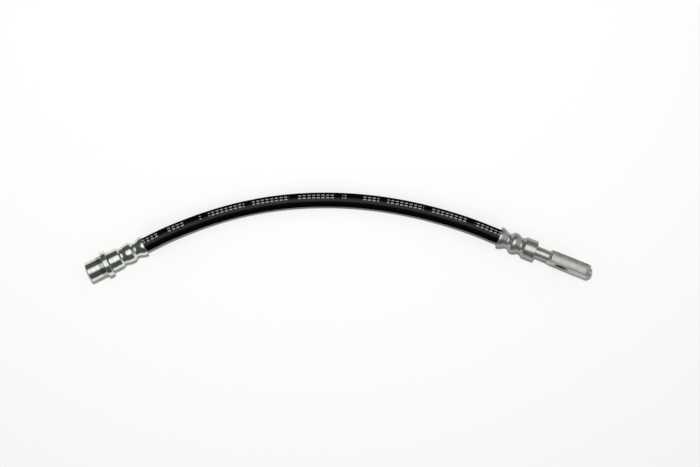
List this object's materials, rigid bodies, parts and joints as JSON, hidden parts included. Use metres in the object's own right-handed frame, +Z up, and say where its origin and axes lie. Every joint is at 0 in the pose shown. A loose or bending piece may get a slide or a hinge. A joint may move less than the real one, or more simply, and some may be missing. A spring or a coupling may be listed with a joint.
{
  "type": "brake hose",
  "caption": "Short flexible brake hose in a shallow arc, with a crimped female port fitting at one end and a crimped banjo fitting at the other.",
  "frame": {"origin": "on the surface that the hose lies on, under the middle of the box around its two end fittings", "axes": "+X from the port fitting to the banjo fitting, along the chord of the arc; +Y towards the outside of the arc; +Z up from the surface that it lies on"},
  "size_m": [0.3729, 0.0653, 0.0191],
  "materials": {
    "hose_rubber": "smooth black rubber with a soft sheen",
    "hose_braid": "braided off-white textile yarn",
    "bright_zinc": "turned steel, bright zinc plated, glossy",
    "satin_zinc": "turned and milled steel, zinc plated, satin"
  },
  "bodies": {
    "root": {"inner_tube": "hose_rubber", "inner_braid": "hose_braid", "cushion_layer": "hose_rubber", "outer_braid": "hose_braid", "hose_cover": "hose_rubber", "port_fitting": "bright_zinc", "port_crimp_shell": "bright_zinc", "banjo_fitting": "satin_zinc", "banjo_crimp_shell": "satin_zinc"}
  },
  "joints": []
}
